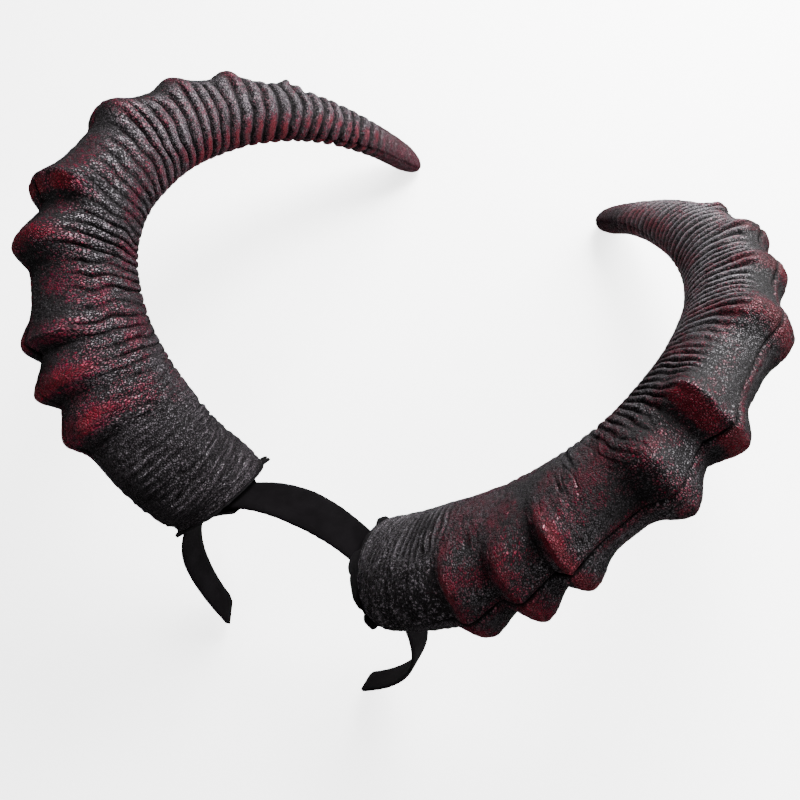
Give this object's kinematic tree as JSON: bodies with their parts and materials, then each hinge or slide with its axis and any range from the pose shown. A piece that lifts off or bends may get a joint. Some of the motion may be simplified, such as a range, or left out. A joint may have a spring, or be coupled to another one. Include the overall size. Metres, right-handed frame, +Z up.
{
  "type": "horn headband",
  "caption": "Costume headband: a thin fabric-covered arch with a pair of large ridged foam horns that sweep up, out and back.",
  "frame": {"origin": "on the surface it rests on, below the middle of its bounding box", "axes": "+X to the wearer's left-right across the head, -Y the way the face looks, +Z up; it lies as it settles on a table, on the band's ends and the horns' tips"},
  "size_m": [0.4118, 0.367, 0.2092],
  "materials": {
    "horn_foam": "pebbled charcoal foam, crimson dry-brushed on the knobs and ribs",
    "band_fabric": "matte black cloth",
    "base_felt": "matte black felt with cut edges"
  },
  "bodies": {
    "root": {"headband": "band_fabric", "horn_right_upper_shell": "horn_foam", "horn_right_lower_shell": "horn_foam", "horn_left_upper_shell": "horn_foam", "horn_left_lower_shell": "horn_foam", "base_cover_right": "base_felt", "base_cover_left": "base_felt", "strap_patch_right": "base_felt", "strap_patch_left": "base_felt"}
  },
  "joints": []
}
